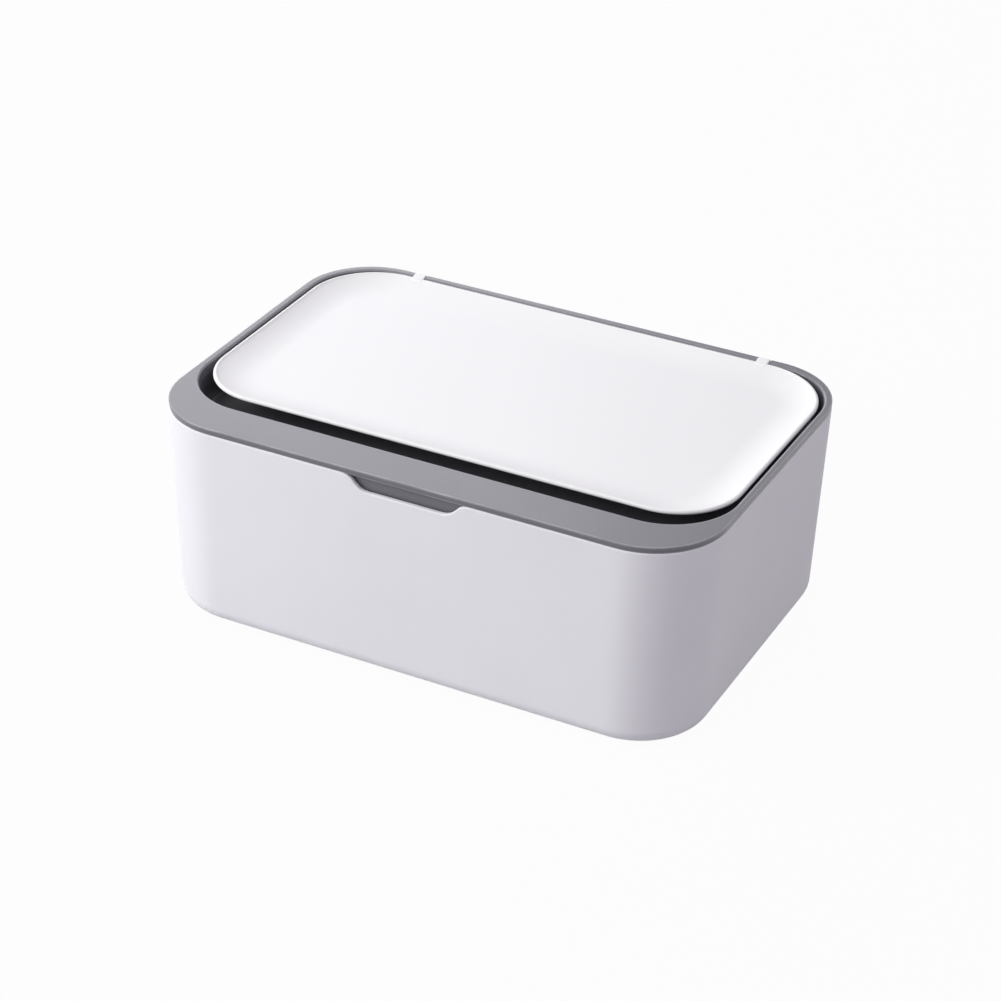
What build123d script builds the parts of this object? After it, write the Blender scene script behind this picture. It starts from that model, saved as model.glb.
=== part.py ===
from build123d import *
from math import cos, radians, sin
import os

# Wipes dispenser: a white tub, a grey frame with a recessed well, a dished flip lid
# and a loose weighted plate that lies on the wipes. Millimetres, +Z up, +Y to the back,
# origin on the ground under the middle of the box.

# Box outline at the parting line, and the lean of its walls
BOX_LENGTH = 200.0
BOX_WIDTH = 136.3
BOX_CORNER = 26.5
TUB_HEIGHT = 73.7
END_DRAFT = 2.65
SIDE_DRAFT = 1.35
BASE_CORNER = 25.2
BASE_FILLET = 6.0

# Tub walls
TUB_WALL = 1.6
TUB_FLOOR = 2.0
RIM_CHAMFER = 0.3
INNER_FOOT_CHAMFER = 3.0
ARC_FACETS = 4

# Finger notch in the middle of the tub's front rim
NOTCH_TOP_WIDTH = 46.0
NOTCH_FLAT_WIDTH = 27.0
NOTCH_DEPTH = 5.0

# Foot pads, square with cut corners
FOOT_SIZE = 14.0
FOOT_CORNER = 3.5
FOOT_THICKNESS = 1.5
FOOT_PROUD = 0.5
FOOT_INSET_X = 26.0
FOOT_INSET_Y = 23.0
FOOT_GAP = 0.1

# Frame: lip over the tub's rim, borders round the well, skirt inside the tub
LIP_HEIGHT = 2.3
LIP_CHAMFER = 0.5
LIP_UNDERCUT = 0.5
SIDE_BORDER = 2.65
REAR_BORDER = 2.95
FRONT_BORDER = 16.2
WELL_CORNER = 24.1
WELL_DEPTH = 12.0
WELL_STEP = 0.5
WELL_STEP_DEPTH = 1.3
WELL_EDGE = 0.4
WELL_DRAFT = 1.0
WELL_COVE = 3.0
FRAME_WALL = 1.6
SKIRT_WALL = 1.4
SKIRT_GAP = 0.35
RIB_COUNT = 7
RIB_PITCH = 22.0
RIB_THICKNESS = 1.2

# Seal round the skirt
SEAL_HEIGHT = 2.2
SEAL_SEAT = 1.7
SEAL_GROOVE_DEPTH = 0.7
SEAL_WALL_GAP = 0.2

# Dispensing port in the well floor
PORT_LENGTH = 96.0
PORT_WIDTH = 44.0
PORT_LEDGE = 3.0
PORT_REBATE = 0.8
COLLAR_WALL = 2.0
COLLAR_HEIGHT = 4.4
INSERT_THICKNESS = 2.0
INSERT_GAP = 0.2
SLIT_LENGTH = 66.0
SLIT_WIDTH = 9.0
SLIT_EYE_LENGTH = 26.0
SLIT_EYE_WIDTH = 18.0

# Lid: a shallow dish, flush with the frame
LID_SIDE_GAP = 1.25
LID_FRONT_GAP = 7.8
LID_REAR_GAP = 0.5
LID_FRONT_CORNER = 23.0
LID_REAR_CORNER = 27.0
LID_PROUD = 0.1
LID_EDGE = 1.5
LID_RIM = 1.1
LID_DISH_DEPTH = 2.6
LID_BLEND = 14.0
LID_WALL = 1.6
LID_EDGE_CHAMFER = 0.5
LID_CREST_CHAMFER = 0.35

# Liner under the lid, with its seal
LINER_MARGIN_X = 8.5
LINER_MARGIN_Y = 7.0
LINER_CORNER = 18.0
LINER_THICKNESS = 1.8
LINER_KEEPER_WALL = 1.4
LINER_KEEPER_DEPTH = 1.4
LID_SEAL_WIDTH = 3.2
LID_SEAL_GAP = 0.1
POST_SIZE = 3.0
POST_GAP = 0.1
POST_EDGE_X = 7.0
POST_EDGE_Y = 12.0

# Hinge at the back rim
HINGE_END_INSET = 33.0
HINGE_TAB_WIDTH = 4.0
HINGE_BARREL_RADIUS = 1.75
HINGE_SIDE_GAP = 0.35
HINGE_FLOOR_GAP = 0.4
PIN_RADIUS = 0.6
PIN_PRESS_GAP = 0.02
PIN_RUN_GAP = 0.06
PIN_ENGAGE = 2.5
PIN_END_GAP = 0.2

# Weighted plate that lies on the wipes
PLATE_GAP_X = 9.8
PLATE_GAP_Y = 13.2
PLATE_CORNER = 18.0
PLATE_FLOOR = 2.0
PLATE_RIM_WALL = 1.6
PLATE_RIM_HEIGHT = 5.6
PLATE_COVER = 1.6
PLATE_EDGE_CHAMFER = 0.5
PLATE_SLOT_LENGTH = 92.0
PLATE_SLOT_WIDTH = 34.0
WEIGHT_END_MARGIN = 27.0
WEIGHT_WIDTH = 16.0
WEIGHT_THICKNESS = 3.2
WEIGHT_CHAMFER = 1.5
WEIGHT_CRADLE_GAP = 0.2
WEIGHT_CRADLE_WALL = 1.2

# Levels worked out from the sizes above
BASE_Z = FOOT_PROUD
FLOOR_Z = BASE_Z + TUB_FLOOR
RIM_Z = BASE_Z + TUB_HEIGHT
FRAME_TOP_Z = RIM_Z + LIP_HEIGHT
WELL_FLOOR_Z = FRAME_TOP_Z - WELL_DEPTH
FRAME_BOTTOM_Z = WELL_FLOOR_Z - FRAME_WALL
COLLAR_TOP_Z = WELL_FLOOR_Z + COLLAR_HEIGHT
LID_TOP_Z = FRAME_TOP_Z + LID_PROUD
LID_EDGE_Z = LID_TOP_Z - LID_EDGE
DISH_Z = LID_TOP_Z - LID_DISH_DEPTH
LID_UNDER_Z = DISH_Z - LID_WALL
LINER_Z = LID_UNDER_Z - LINER_THICKNESS

# Places worked out from the sizes above
WELL_LENGTH = BOX_LENGTH - 2 * SIDE_BORDER
WELL_WIDTH = BOX_WIDTH - FRONT_BORDER - REAR_BORDER
WELL_Y = (FRONT_BORDER - REAR_BORDER) / 2
WELL_BACK_Y = BOX_WIDTH / 2 - REAR_BORDER
LID_LENGTH = WELL_LENGTH - 2 * LID_SIDE_GAP
LID_BACK_Y = WELL_BACK_Y - LID_REAR_GAP
LID_FRONT_Y = WELL_BACK_Y - WELL_WIDTH + LID_FRONT_GAP
LINER_LENGTH = LID_LENGTH - 2 * (LID_BLEND + LINER_MARGIN_X)
LINER_WIDTH = LID_BACK_Y - LID_FRONT_Y - 2 * (LID_BLEND + LINER_MARGIN_Y)
PLATE_LENGTH = BOX_LENGTH - 2 * (END_DRAFT + TUB_WALL + PLATE_GAP_X)
PLATE_WIDTH = BOX_WIDTH - 2 * (SIDE_DRAFT + TUB_WALL + PLATE_GAP_Y)
WEIGHT_LENGTH = PLATE_LENGTH - 2 * WEIGHT_END_MARGIN
HINGE_X = BOX_LENGTH / 2 - HINGE_END_INSET
HINGE_Y = BOX_WIDTH / 2 - HINGE_BARREL_RADIUS
HINGE_Z = FRAME_TOP_Z - LIP_HEIGHT / 2
SIDES = {"left": -1, "right": 1}
ENDS = {"front": -1, "back": 1}


def slab(sketch, low_z, high_z, y=0.0):
    """A flat plate of one outline between two heights."""
    return Pos(0, y, low_z) * extrude(sketch, high_z - low_z)


def box_plan(z, inset):
    """The box's outline at height z, drawn in by inset; the walls lean and the corners tighten."""
    drop = (RIM_Z - z) / TUB_HEIGHT
    length = BOX_LENGTH - 2 * (END_DRAFT * drop + inset)
    width = BOX_WIDTH - 2 * (SIDE_DRAFT * drop + inset)
    corner = BOX_CORNER - (BOX_CORNER - BASE_CORNER) * drop - inset
    return Pos(0, 0, z) * RectangleRounded(length, width, corner)


def lip_plan(z, inset):
    """The frame's outline at height z, over the tub's rim, drawn in by inset."""
    outline = RectangleRounded(BOX_LENGTH - 2 * inset, BOX_WIDTH - 2 * inset, BOX_CORNER - inset)
    return Pos(0, 0, z) * outline


def box_form(low_z, high_z, inset):
    """A solid with the box's leaning walls, drawn in by inset."""
    return loft([box_plan(low_z, inset), box_plan(high_z, inset)], ruled=True)


def arc_steps(radius):
    """Inset and rise of each corner of a quarter arc drawn in short facets, from a floor up to a wall."""
    for step in range(ARC_FACETS + 1):
        turn = radians(90 * step / ARC_FACETS)
        yield radius * (1 - sin(turn)), radius * (1 - cos(turn))


def well_plan(z, inset):
    """The well's outline, drawn in by inset from its opening."""
    outline = RectangleRounded(WELL_LENGTH - 2 * inset, WELL_WIDTH - 2 * inset, WELL_CORNER - inset)
    return Pos(0, WELL_Y, z) * outline


def break_edges(solid, end, width):
    """Chamfer the lowest or highest edges of a plate."""
    return chamfer(solid.faces().sort_by(Axis.Z)[end].edges(), width)


def notch_outline():
    """The finger notch seen from the front: a flat bottom between two S-curves."""
    top = NOTCH_TOP_WIDTH / 2
    flat = NOTCH_FLAT_WIDTH / 2
    middle = (top + flat) / 2
    curves = []
    for side in SIDES.values():
        waist = (side * middle, -NOTCH_DEPTH / 2)
        curves.append(TangentArc((side * top, 0), waist, tangent=(-side, 0)))
        curves.append(TangentArc((side * flat, -NOTCH_DEPTH), waist, tangent=(side, 0)))
    bottom = Line((-flat, -NOTCH_DEPTH), (flat, -NOTCH_DEPTH))
    head = Polyline((top, 0), (top, LIP_HEIGHT), (-top, LIP_HEIGHT), (-top, 0))
    return make_face([*curves, bottom, *head.edges()])


def foot_places():
    """Name and place of each foot pad."""
    places = {}
    for end, along_y in ENDS.items():
        for side, along_x in SIDES.items():
            x = along_x * (BOX_LENGTH / 2 - FOOT_INSET_X)
            y = along_y * (BOX_WIDTH / 2 - FOOT_INSET_Y)
            places[f"foot_pad_{end}_{side}"] = Pos(x, y, 0)
    return places


def foot_plate(growth):
    """A foot pad's block, grown all round by growth."""
    size = FOOT_SIZE + 2 * growth
    plate = slab(Rectangle(size, size), 0, FOOT_THICKNESS)
    return chamfer(plate.edges().filter_by(Axis.Z), FOOT_CORNER)


def hinge_block(x, width, low_z, high_z):
    """A block across the back rim at one hinge."""
    root_y = LID_BACK_Y - LID_RIM
    depth = BOX_WIDTH / 2 - root_y + HINGE_BARREL_RADIUS
    middle_y = root_y + depth / 2
    return Pos(x, middle_y, (low_z + high_z) / 2) * Box(width, depth, high_z - low_z)


def tub_shell():
    """The tub: leaning walls, a rounded foot, the finger notch and the hinge reliefs."""
    outer = [box_plan(BASE_Z + rise, inset) for inset, rise in arc_steps(BASE_FILLET)]
    outer.append(box_plan(RIM_Z - RIM_CHAMFER, 0))
    outer.append(box_plan(RIM_Z, RIM_CHAMFER))
    inner = [
        box_plan(FLOOR_Z, TUB_WALL + INNER_FOOT_CHAMFER),
        box_plan(FLOOR_Z + INNER_FOOT_CHAMFER, TUB_WALL),
        box_plan(RIM_Z, TUB_WALL),
    ]
    tub = loft(outer, ruled=True) - loft(inner, ruled=True)
    notch_plane = Plane(origin=(0, 0, RIM_Z), x_dir=(1, 0, 0), z_dir=(0, -1, 0))
    tub -= extrude(notch_plane * notch_outline(), BOX_WIDTH)
    for place in foot_places().values():
        tub -= place * foot_plate(FOOT_GAP)
    relief_z = HINGE_Z - HINGE_BARREL_RADIUS - HINGE_FLOOR_GAP
    for side in SIDES.values():
        width = HINGE_TAB_WIDTH + 2 * HINGE_SIDE_GAP
        tub -= hinge_block(side * HINGE_X, width, relief_z, FRAME_TOP_Z)
    return tub


def well_cavity():
    """The space of the well: a stepped mouth, leaning walls and a coved foot."""
    step_z = FRAME_TOP_Z - WELL_STEP_DEPTH
    edge_z = FRAME_TOP_Z - WELL_EDGE
    mouth = [well_plan(step_z, 0), well_plan(edge_z, 0), well_plan(FRAME_TOP_Z, -WELL_EDGE)]
    foot_inset = WELL_STEP + WELL_DRAFT
    pit = [well_plan(WELL_FLOOR_Z + rise, foot_inset + inset) for inset, rise in arc_steps(WELL_COVE)]
    pit.append(well_plan(step_z, WELL_STEP))
    return loft(mouth, ruled=True) + loft(pit, ruled=True)


def front_channel():
    """The hollow under the front border, between the skirt and the well's wall, less its ribs."""
    hollow = box_form(FRAME_BOTTOM_Z, RIM_Z, TUB_WALL + SKIRT_GAP + SKIRT_WALL)
    wall_foot = well_plan(FRAME_BOTTOM_Z, WELL_STEP + WELL_DRAFT - FRAME_WALL)
    wall_head = well_plan(RIM_Z, WELL_STEP - FRAME_WALL)
    hollow -= loft([wall_foot, wall_head], ruled=True)
    behind = slab(Rectangle(BOX_LENGTH, BOX_WIDTH), FRAME_BOTTOM_Z, RIM_Z, BOX_CORNER)
    hollow -= behind
    for place in GridLocations(RIB_PITCH, 0, RIB_COUNT, 1):
        hollow -= place * slab(Rectangle(RIB_THICKNESS, BOX_WIDTH), FRAME_BOTTOM_Z, RIM_Z)
    return hollow


def pin_bore(x, radius, length):
    """A cylinder along the hinge axis, centred at x."""
    return Pos(x, HINGE_Y, HINGE_Z) * Rot(0, 90, 0) * Cylinder(radius, length)


def seal_groove_form(depth_in, low_z, high_z):
    """The band between the skirt's groove foot and the seal's outer face."""
    outer = box_form(low_z, high_z, TUB_WALL + depth_in)
    inner = box_form(low_z, high_z, TUB_WALL + SKIRT_GAP + SEAL_GROOVE_DEPTH)
    return outer - inner


def top_frame():
    """The grey frame: lip, skirt, well, port with its collar, seal groove and hinge seats."""
    lip = [
        lip_plan(RIM_Z, LIP_UNDERCUT),
        lip_plan(FRAME_TOP_Z - LIP_CHAMFER, 0),
        lip_plan(FRAME_TOP_Z, LIP_CHAMFER),
    ]
    frame = loft(lip, ruled=True) + box_form(FRAME_BOTTOM_Z, RIM_Z, TUB_WALL + SKIRT_GAP)
    frame -= well_cavity()
    frame -= front_channel()
    seal_low = FRAME_BOTTOM_Z + SEAL_SEAT
    frame -= seal_groove_form(0, seal_low, seal_low + SEAL_HEIGHT)
    collar = SlotOverall(PORT_LENGTH + 2 * COLLAR_WALL, PORT_WIDTH + 2 * COLLAR_WALL)
    frame += slab(collar, WELL_FLOOR_Z - PORT_REBATE, COLLAR_TOP_Z, WELL_Y)
    pocket = SlotOverall(PORT_LENGTH, PORT_WIDTH)
    frame -= slab(pocket, WELL_FLOOR_Z - PORT_REBATE, COLLAR_TOP_Z, WELL_Y)
    opening = SlotOverall(PORT_LENGTH - 2 * PORT_LEDGE, PORT_WIDTH - 2 * PORT_LEDGE)
    frame -= slab(opening, FRAME_BOTTOM_Z, WELL_FLOOR_Z, WELL_Y)
    slot_z = HINGE_Z - HINGE_BARREL_RADIUS - HINGE_FLOOR_GAP
    for side in SIDES.values():
        x = side * HINGE_X
        width = HINGE_TAB_WIDTH + 2 * HINGE_SIDE_GAP
        frame -= hinge_block(x, width, slot_z, LID_TOP_Z + LID_EDGE)
        bore_length = HINGE_TAB_WIDTH + 2 * (PIN_ENGAGE + PIN_END_GAP)
        frame -= pin_bore(x, PIN_RADIUS + PIN_RUN_GAP, bore_length)
    return frame


def frame_seal():
    """Soft ring in the skirt's groove, against the tub's wall."""
    low_z = FRAME_BOTTOM_Z + SEAL_SEAT
    return seal_groove_form(SEAL_WALL_GAP, low_z, low_z + SEAL_HEIGHT)


def port_insert():
    """Soft plate with the slit that holds back the next wipe."""
    outline = SlotOverall(PORT_LENGTH - 2 * INSERT_GAP, PORT_WIDTH - 2 * INSERT_GAP)
    slit = SlotOverall(SLIT_LENGTH, SLIT_WIDTH) + Ellipse(SLIT_EYE_LENGTH / 2, SLIT_EYE_WIDTH / 2)
    low_z = WELL_FLOOR_Z - PORT_REBATE
    return slab(outline - slit, low_z, low_z + INSERT_THICKNESS, WELL_Y)


def lid_half_path(inset):
    """Right half of the lid's outline, from the middle of its front edge to the middle of its back."""
    end = LID_LENGTH / 2 - inset
    front = LID_FRONT_Y + inset
    back = LID_BACK_Y - inset
    radii = [LID_FRONT_CORNER - inset, LID_REAR_CORNER - inset]
    return FilletPolyline((0, front), (end, front), (end, back), (0, back), radius=radii)


def lid_border_profile():
    """Section of the lid's border, from its edge in to the flat of the dish."""
    crest = (LID_RIM + LID_CREST_CHAMFER, LID_TOP_Z - LID_CREST_CHAMFER)
    heel = (LID_EDGE_CHAMFER, LID_EDGE_Z)
    dish = TangentArc((LID_BLEND, DISH_Z), crest, tangent=(-1, 0))
    under = TangentArc((LID_BLEND, LID_UNDER_Z), heel, tangent=(-1, 0))
    seam = Line((LID_BLEND, LID_UNDER_Z), (LID_BLEND, DISH_Z))
    edge = Polyline(
        crest, (LID_RIM, LID_TOP_Z), (LID_EDGE_CHAMFER, LID_TOP_Z), (0, LID_TOP_Z - LID_EDGE_CHAMFER),
        (0, LID_EDGE_Z + LID_EDGE_CHAMFER), heel
    )
    return make_face([dish, under, seam, *edge.edges()])


def hinge_arm(side):
    """One tab at the lid's back edge, with the barrel that turns on its pin."""
    section_plane = Plane(origin=(side * HINGE_X, 0, 0), x_dir=(0, 1, 0), z_dir=(1, 0, 0))
    root_y = LID_BACK_Y - LID_RIM
    arm = Polygon(
        (root_y, LID_EDGE_Z), (HINGE_Y, LID_EDGE_Z), (HINGE_Y, LID_TOP_Z), (root_y, LID_TOP_Z), align=None
    )
    section = arm + Pos(HINGE_Y, HINGE_Z) * Circle(HINGE_BARREL_RADIUS)
    return extrude(section_plane * section, HINGE_TAB_WIDTH / 2, both=True)


def post_places():
    """Where the lid's posts pass through the liner."""
    spread_x = LINER_LENGTH - 2 * POST_EDGE_X
    spread_y = LINER_WIDTH - 2 * POST_EDGE_Y
    return Pos(0, WELL_Y, 0) * GridLocations(spread_x, spread_y, 2, 2)


def lid_panel():
    """The dished lid: a swept border, its flat middle, the posts below and the hinge tabs."""
    section_plane = Plane(origin=(0, LID_FRONT_Y, 0), x_dir=(0, 1, 0), z_dir=(1, 0, 0))
    border = sweep(section_plane * lid_border_profile(), path=lid_half_path(0))
    seam = Line((0, LID_FRONT_Y + LID_BLEND), (0, LID_BACK_Y - LID_BLEND))
    middle = make_face([*lid_half_path(LID_BLEND).edges(), seam])
    half = border + slab(middle, LID_UNDER_Z, DISH_Z)
    lid = half + mirror(half, about=Plane.YZ)
    for place in post_places():
        lid += place * slab(Rectangle(POST_SIZE, POST_SIZE), LINER_Z, DISH_Z)
    for side in SIDES.values():
        lid += hinge_arm(side)
        lid -= pin_bore(side * HINGE_X, PIN_RADIUS + PIN_PRESS_GAP, HINGE_TAB_WIDTH)
    return lid


def collar_ring(inner_growth, outer_growth, low_z, high_z):
    """A ring that follows the middle of the port's collar, between two distances from it."""
    length = PORT_LENGTH + COLLAR_WALL
    width = PORT_WIDTH + COLLAR_WALL
    outer = SlotOverall(length + 2 * outer_growth, width + 2 * outer_growth)
    inner = SlotOverall(length + 2 * inner_growth, width + 2 * inner_growth)
    return slab(outer - inner, low_z, high_z, WELL_Y)


def lid_liner():
    """The plate under the lid, with two low walls that keep the lid's seal."""
    outline = RectangleRounded(LINER_LENGTH, LINER_WIDTH, LINER_CORNER)
    liner = slab(outline, LINER_Z, LID_UNDER_Z, WELL_Y)
    near = LID_SEAL_WIDTH / 2 + LID_SEAL_GAP
    far = near + LINER_KEEPER_WALL
    keeper_z = LINER_Z - LINER_KEEPER_DEPTH
    liner += collar_ring(near, far, keeper_z, LINER_Z)
    liner += collar_ring(-far, -near, keeper_z, LINER_Z)
    hole = POST_SIZE + 2 * POST_GAP
    for place in post_places():
        liner -= place * slab(Rectangle(hole, hole), LINER_Z, LID_UNDER_Z)
    return liner


def lid_seal():
    """Soft ring that closes on the port's collar."""
    return collar_ring(-LID_SEAL_WIDTH / 2, LID_SEAL_WIDTH / 2, COLLAR_TOP_Z, LINER_Z)


def hinge_pin(side):
    """Steel pin through one tab, with both ends in the frame's lip."""
    return pin_bore(side * HINGE_X, PIN_RADIUS, HINGE_TAB_WIDTH + 2 * PIN_ENGAGE)


def weight_place(end):
    """Middle of one steel weight, halfway between the plate's slot wall and its rim."""
    slot_side = PLATE_SLOT_WIDTH / 2 + PLATE_RIM_WALL
    rim_side = PLATE_WIDTH / 2 - PLATE_RIM_WALL
    return Pos(0, end * (slot_side + rim_side) / 2, 0)


def press_plate_base():
    """The plate's underside: a tray with a wall round its slot and a cradle for each weight."""
    floor_z = FLOOR_Z + PLATE_FLOOR
    wall_z = FLOOR_Z + PLATE_RIM_HEIGHT
    outline = RectangleRounded(PLATE_LENGTH, PLATE_WIDTH, PLATE_CORNER)
    tray = break_edges(slab(outline, FLOOR_Z, wall_z), 0, PLATE_EDGE_CHAMFER)
    room_corner = PLATE_CORNER - PLATE_RIM_WALL
    room_length = PLATE_LENGTH - 2 * PLATE_RIM_WALL
    room_width = PLATE_WIDTH - 2 * PLATE_RIM_WALL
    tray -= slab(RectangleRounded(room_length, room_width, room_corner), floor_z, wall_z)
    slot_wall = SlotOverall(PLATE_SLOT_LENGTH + 2 * PLATE_RIM_WALL, PLATE_SLOT_WIDTH + 2 * PLATE_RIM_WALL)
    tray += slab(slot_wall, FLOOR_Z, wall_z)
    tray -= slab(SlotOverall(PLATE_SLOT_LENGTH, PLATE_SLOT_WIDTH), FLOOR_Z, wall_z)
    room = (WEIGHT_LENGTH + 2 * WEIGHT_CRADLE_GAP, WEIGHT_WIDTH + 2 * WEIGHT_CRADLE_GAP)
    cradle = Rectangle(room[0] + 2 * WEIGHT_CRADLE_WALL, room[1] + 2 * WEIGHT_CRADLE_WALL)
    cradle -= Rectangle(*room)
    for end in ENDS.values():
        tray += weight_place(end) * slab(cradle, floor_z, floor_z + WEIGHT_THICKNESS / 2)
    return tray


def press_plate_cover():
    """The plate's top, over the weights, with the same slot for the wipe."""
    low_z = FLOOR_Z + PLATE_RIM_HEIGHT
    outline = RectangleRounded(PLATE_LENGTH, PLATE_WIDTH, PLATE_CORNER)
    cover = break_edges(slab(outline, low_z, low_z + PLATE_COVER), -1, PLATE_EDGE_CHAMFER)
    return cover - slab(SlotOverall(PLATE_SLOT_LENGTH, PLATE_SLOT_WIDTH), low_z, low_z + PLATE_COVER)


def press_weight(end):
    """One steel bar, lying in its cradle."""
    low_z = FLOOR_Z + PLATE_FLOOR
    bar = slab(Rectangle(WEIGHT_LENGTH, WEIGHT_WIDTH), low_z, low_z + WEIGHT_THICKNESS)
    bar = chamfer(bar.edges().filter_by(Axis.Z), WEIGHT_CHAMFER)
    return weight_place(end) * bar


def main():
    """Write every piece to its own file."""
    pieces = {
        "tub_shell": tub_shell(),
        "top_frame": top_frame(),
        "frame_seal": frame_seal(),
        "port_insert": port_insert(),
        "lid_panel": lid_panel(),
        "lid_liner": lid_liner(),
        "lid_seal": lid_seal(),
        "press_plate_base": press_plate_base(),
        "press_plate_cover": press_plate_cover(),
    }
    for name, place in foot_places().items():
        pieces[name] = place * foot_plate(0)
    for side_name, side in SIDES.items():
        pieces[f"hinge_pin_{side_name}"] = hinge_pin(side)
    for end_name, end in ENDS.items():
        pieces[f"press_weight_{end_name}"] = press_weight(end)
    os.makedirs("parts", exist_ok=True)
    for name, piece in pieces.items():
        export_step(piece, f"parts/{name}.step")


main()
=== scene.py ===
"""Dresses the wipes dispenser: a white tub, a grey frame with a well, a dished lid and the parts inside."""

import math

import bmesh
import bpy
from mathutils import Matrix, Vector


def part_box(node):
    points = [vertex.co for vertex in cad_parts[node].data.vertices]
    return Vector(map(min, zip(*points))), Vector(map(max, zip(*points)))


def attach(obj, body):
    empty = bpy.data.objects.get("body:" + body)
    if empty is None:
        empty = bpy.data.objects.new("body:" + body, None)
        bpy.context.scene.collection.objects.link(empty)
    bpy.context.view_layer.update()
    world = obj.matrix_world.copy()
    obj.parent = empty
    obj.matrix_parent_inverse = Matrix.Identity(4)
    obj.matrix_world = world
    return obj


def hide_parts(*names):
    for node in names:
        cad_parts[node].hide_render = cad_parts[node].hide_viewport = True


bl_info = {
    "name": "Wipes Dispenser",
    "version": (1, 0, 0),
    "blender": (4, 5, 0),
    "location": "3D View > Sidebar > Wipes",
    "description": "Builds the dressed wipes dispenser round its packed frame",
    "category": "Object",
}

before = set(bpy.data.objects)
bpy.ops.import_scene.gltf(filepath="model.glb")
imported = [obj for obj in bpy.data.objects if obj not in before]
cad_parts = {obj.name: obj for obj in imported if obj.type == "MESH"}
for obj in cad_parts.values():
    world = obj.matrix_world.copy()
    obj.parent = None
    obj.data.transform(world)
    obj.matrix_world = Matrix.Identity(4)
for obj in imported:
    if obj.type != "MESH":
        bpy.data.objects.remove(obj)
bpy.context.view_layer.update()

MM = 0.001

# Points closer than this are one point
MERGE = 1e-7

# How far a cutter reaches past what it cuts
OVERSHOOT = 1 * MM

# Degrees between faces above which an edge stays sharp, on moulded and on soft pieces
HARD_EDGE = 35
SOFT_EDGE = 50

# The floor's reach, the camera's sensor in millimetres and the nearest distance that it sees
FLOOR_REACH = 6.0
SENSOR = 36.0
NEAREST = 0.05

# Levels and reaches that the packed nodes give
TUB_LOW, TUB_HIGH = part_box("tub_shell")
FRAME_LOW, FRAME_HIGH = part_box("top_frame")
LID_LOW, LID_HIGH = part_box("lid_panel")
LINER_LOW, LINER_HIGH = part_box("lid_liner")
INSERT_LOW, INSERT_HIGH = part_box("port_insert")
SEAL_LOW, SEAL_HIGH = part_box("frame_seal")
LID_SEAL_LOW, LID_SEAL_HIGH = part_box("lid_seal")
PAD_LOW, PAD_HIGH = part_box("foot_pad_back_right")
PIN_LOW, PIN_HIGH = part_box("hinge_pin_right")

# Points on each outline: the same number on every ring, so that rings join in order
CORNER_STEPS = 20
END_STEPS = 8
LONG_STEPS = 98
ARC_STEP = math.radians(15)
SLOPE_STEPS = 12
INSERT_STEPS = 8 * CORNER_STEPS

# The insert's section in millimetres: the edge that it follows, the level that heights count from, and
# rows of (inset, height)
INSERT_SECTION = (
    ("outer", INSERT_LOW.z, ((0.4, 0), (0.1, 0.1), (0, 0.4))),
    ("outer", INSERT_HIGH.z, ((0, -0.5), (0.15, -0.15), (0.5, 0), (2.2, 0), (3.4, -0.7))),
    ("slit", INSERT_HIGH.z, ((3.2, -0.7), (2.4, -0.3), (1.6, 0), (0.5, 0), (0.1, -0.3), (0, -0.8))),
    ("slit", INSERT_LOW.z, ((0, 0.3), (0.3, 0))),
)


def length(name, text, millimetres):
    """A length setting, given in millimetres."""
    return bpy.props.FloatProperty(
        name=name, description=text, default=millimetres * MM, unit="LENGTH", precision=5
    )


def colour(name, text, value):
    """A colour setting."""
    return bpy.props.FloatVectorProperty(
        name=name, description=text, default=value, subtype="COLOR", size=3, min=0.0, max=1.0
    )


def plain(name, text, value):
    """A bare number setting."""
    return bpy.props.FloatProperty(name=name, description=text, default=value, precision=4)


def angle(name, text, degrees):
    """An angle setting, given in degrees."""
    return bpy.props.FloatProperty(
        name=name, description=text, default=math.radians(degrees), subtype="ANGLE"
    )


class TubSizes(bpy.types.PropertyGroup):
    """Sizes of the tub."""

    corner: length("Corner", "Corner radius at the rim", 26.5)
    base_corner: length("Base corner", "Corner radius at the base", 25.2)
    end_draft: length("End draft", "How far each end leans in at the base", 2.65)
    side_draft: length("Side draft", "How far the front and back lean in at the base", 1.35)
    wall: length("Wall", "Thickness of the wall", 1.6)
    floor: length("Floor", "Thickness of the floor", 2.0)
    foot_radius: length("Foot radius", "Rounding of the outer bottom edge", 6.0)
    inner_radius: length("Inner radius", "Rounding between wall and floor inside", 3.0)
    rim_radius: length("Rim radius", "Rounding of the rim's outer edge", 0.6)
    notch_top: length("Notch top", "Width of the finger notch at the rim", 46.0)
    notch_flat: length("Notch flat", "Width of the finger notch's flat bottom", 27.0)
    notch_depth: length("Notch depth", "Depth of the finger notch", 5.0)
    notch_ease: length("Notch ease", "Plain wall below the finger notch", 2.0)
    base_band: length("Base band", "Level band inside the foot's rounding", 6.0)


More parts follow.
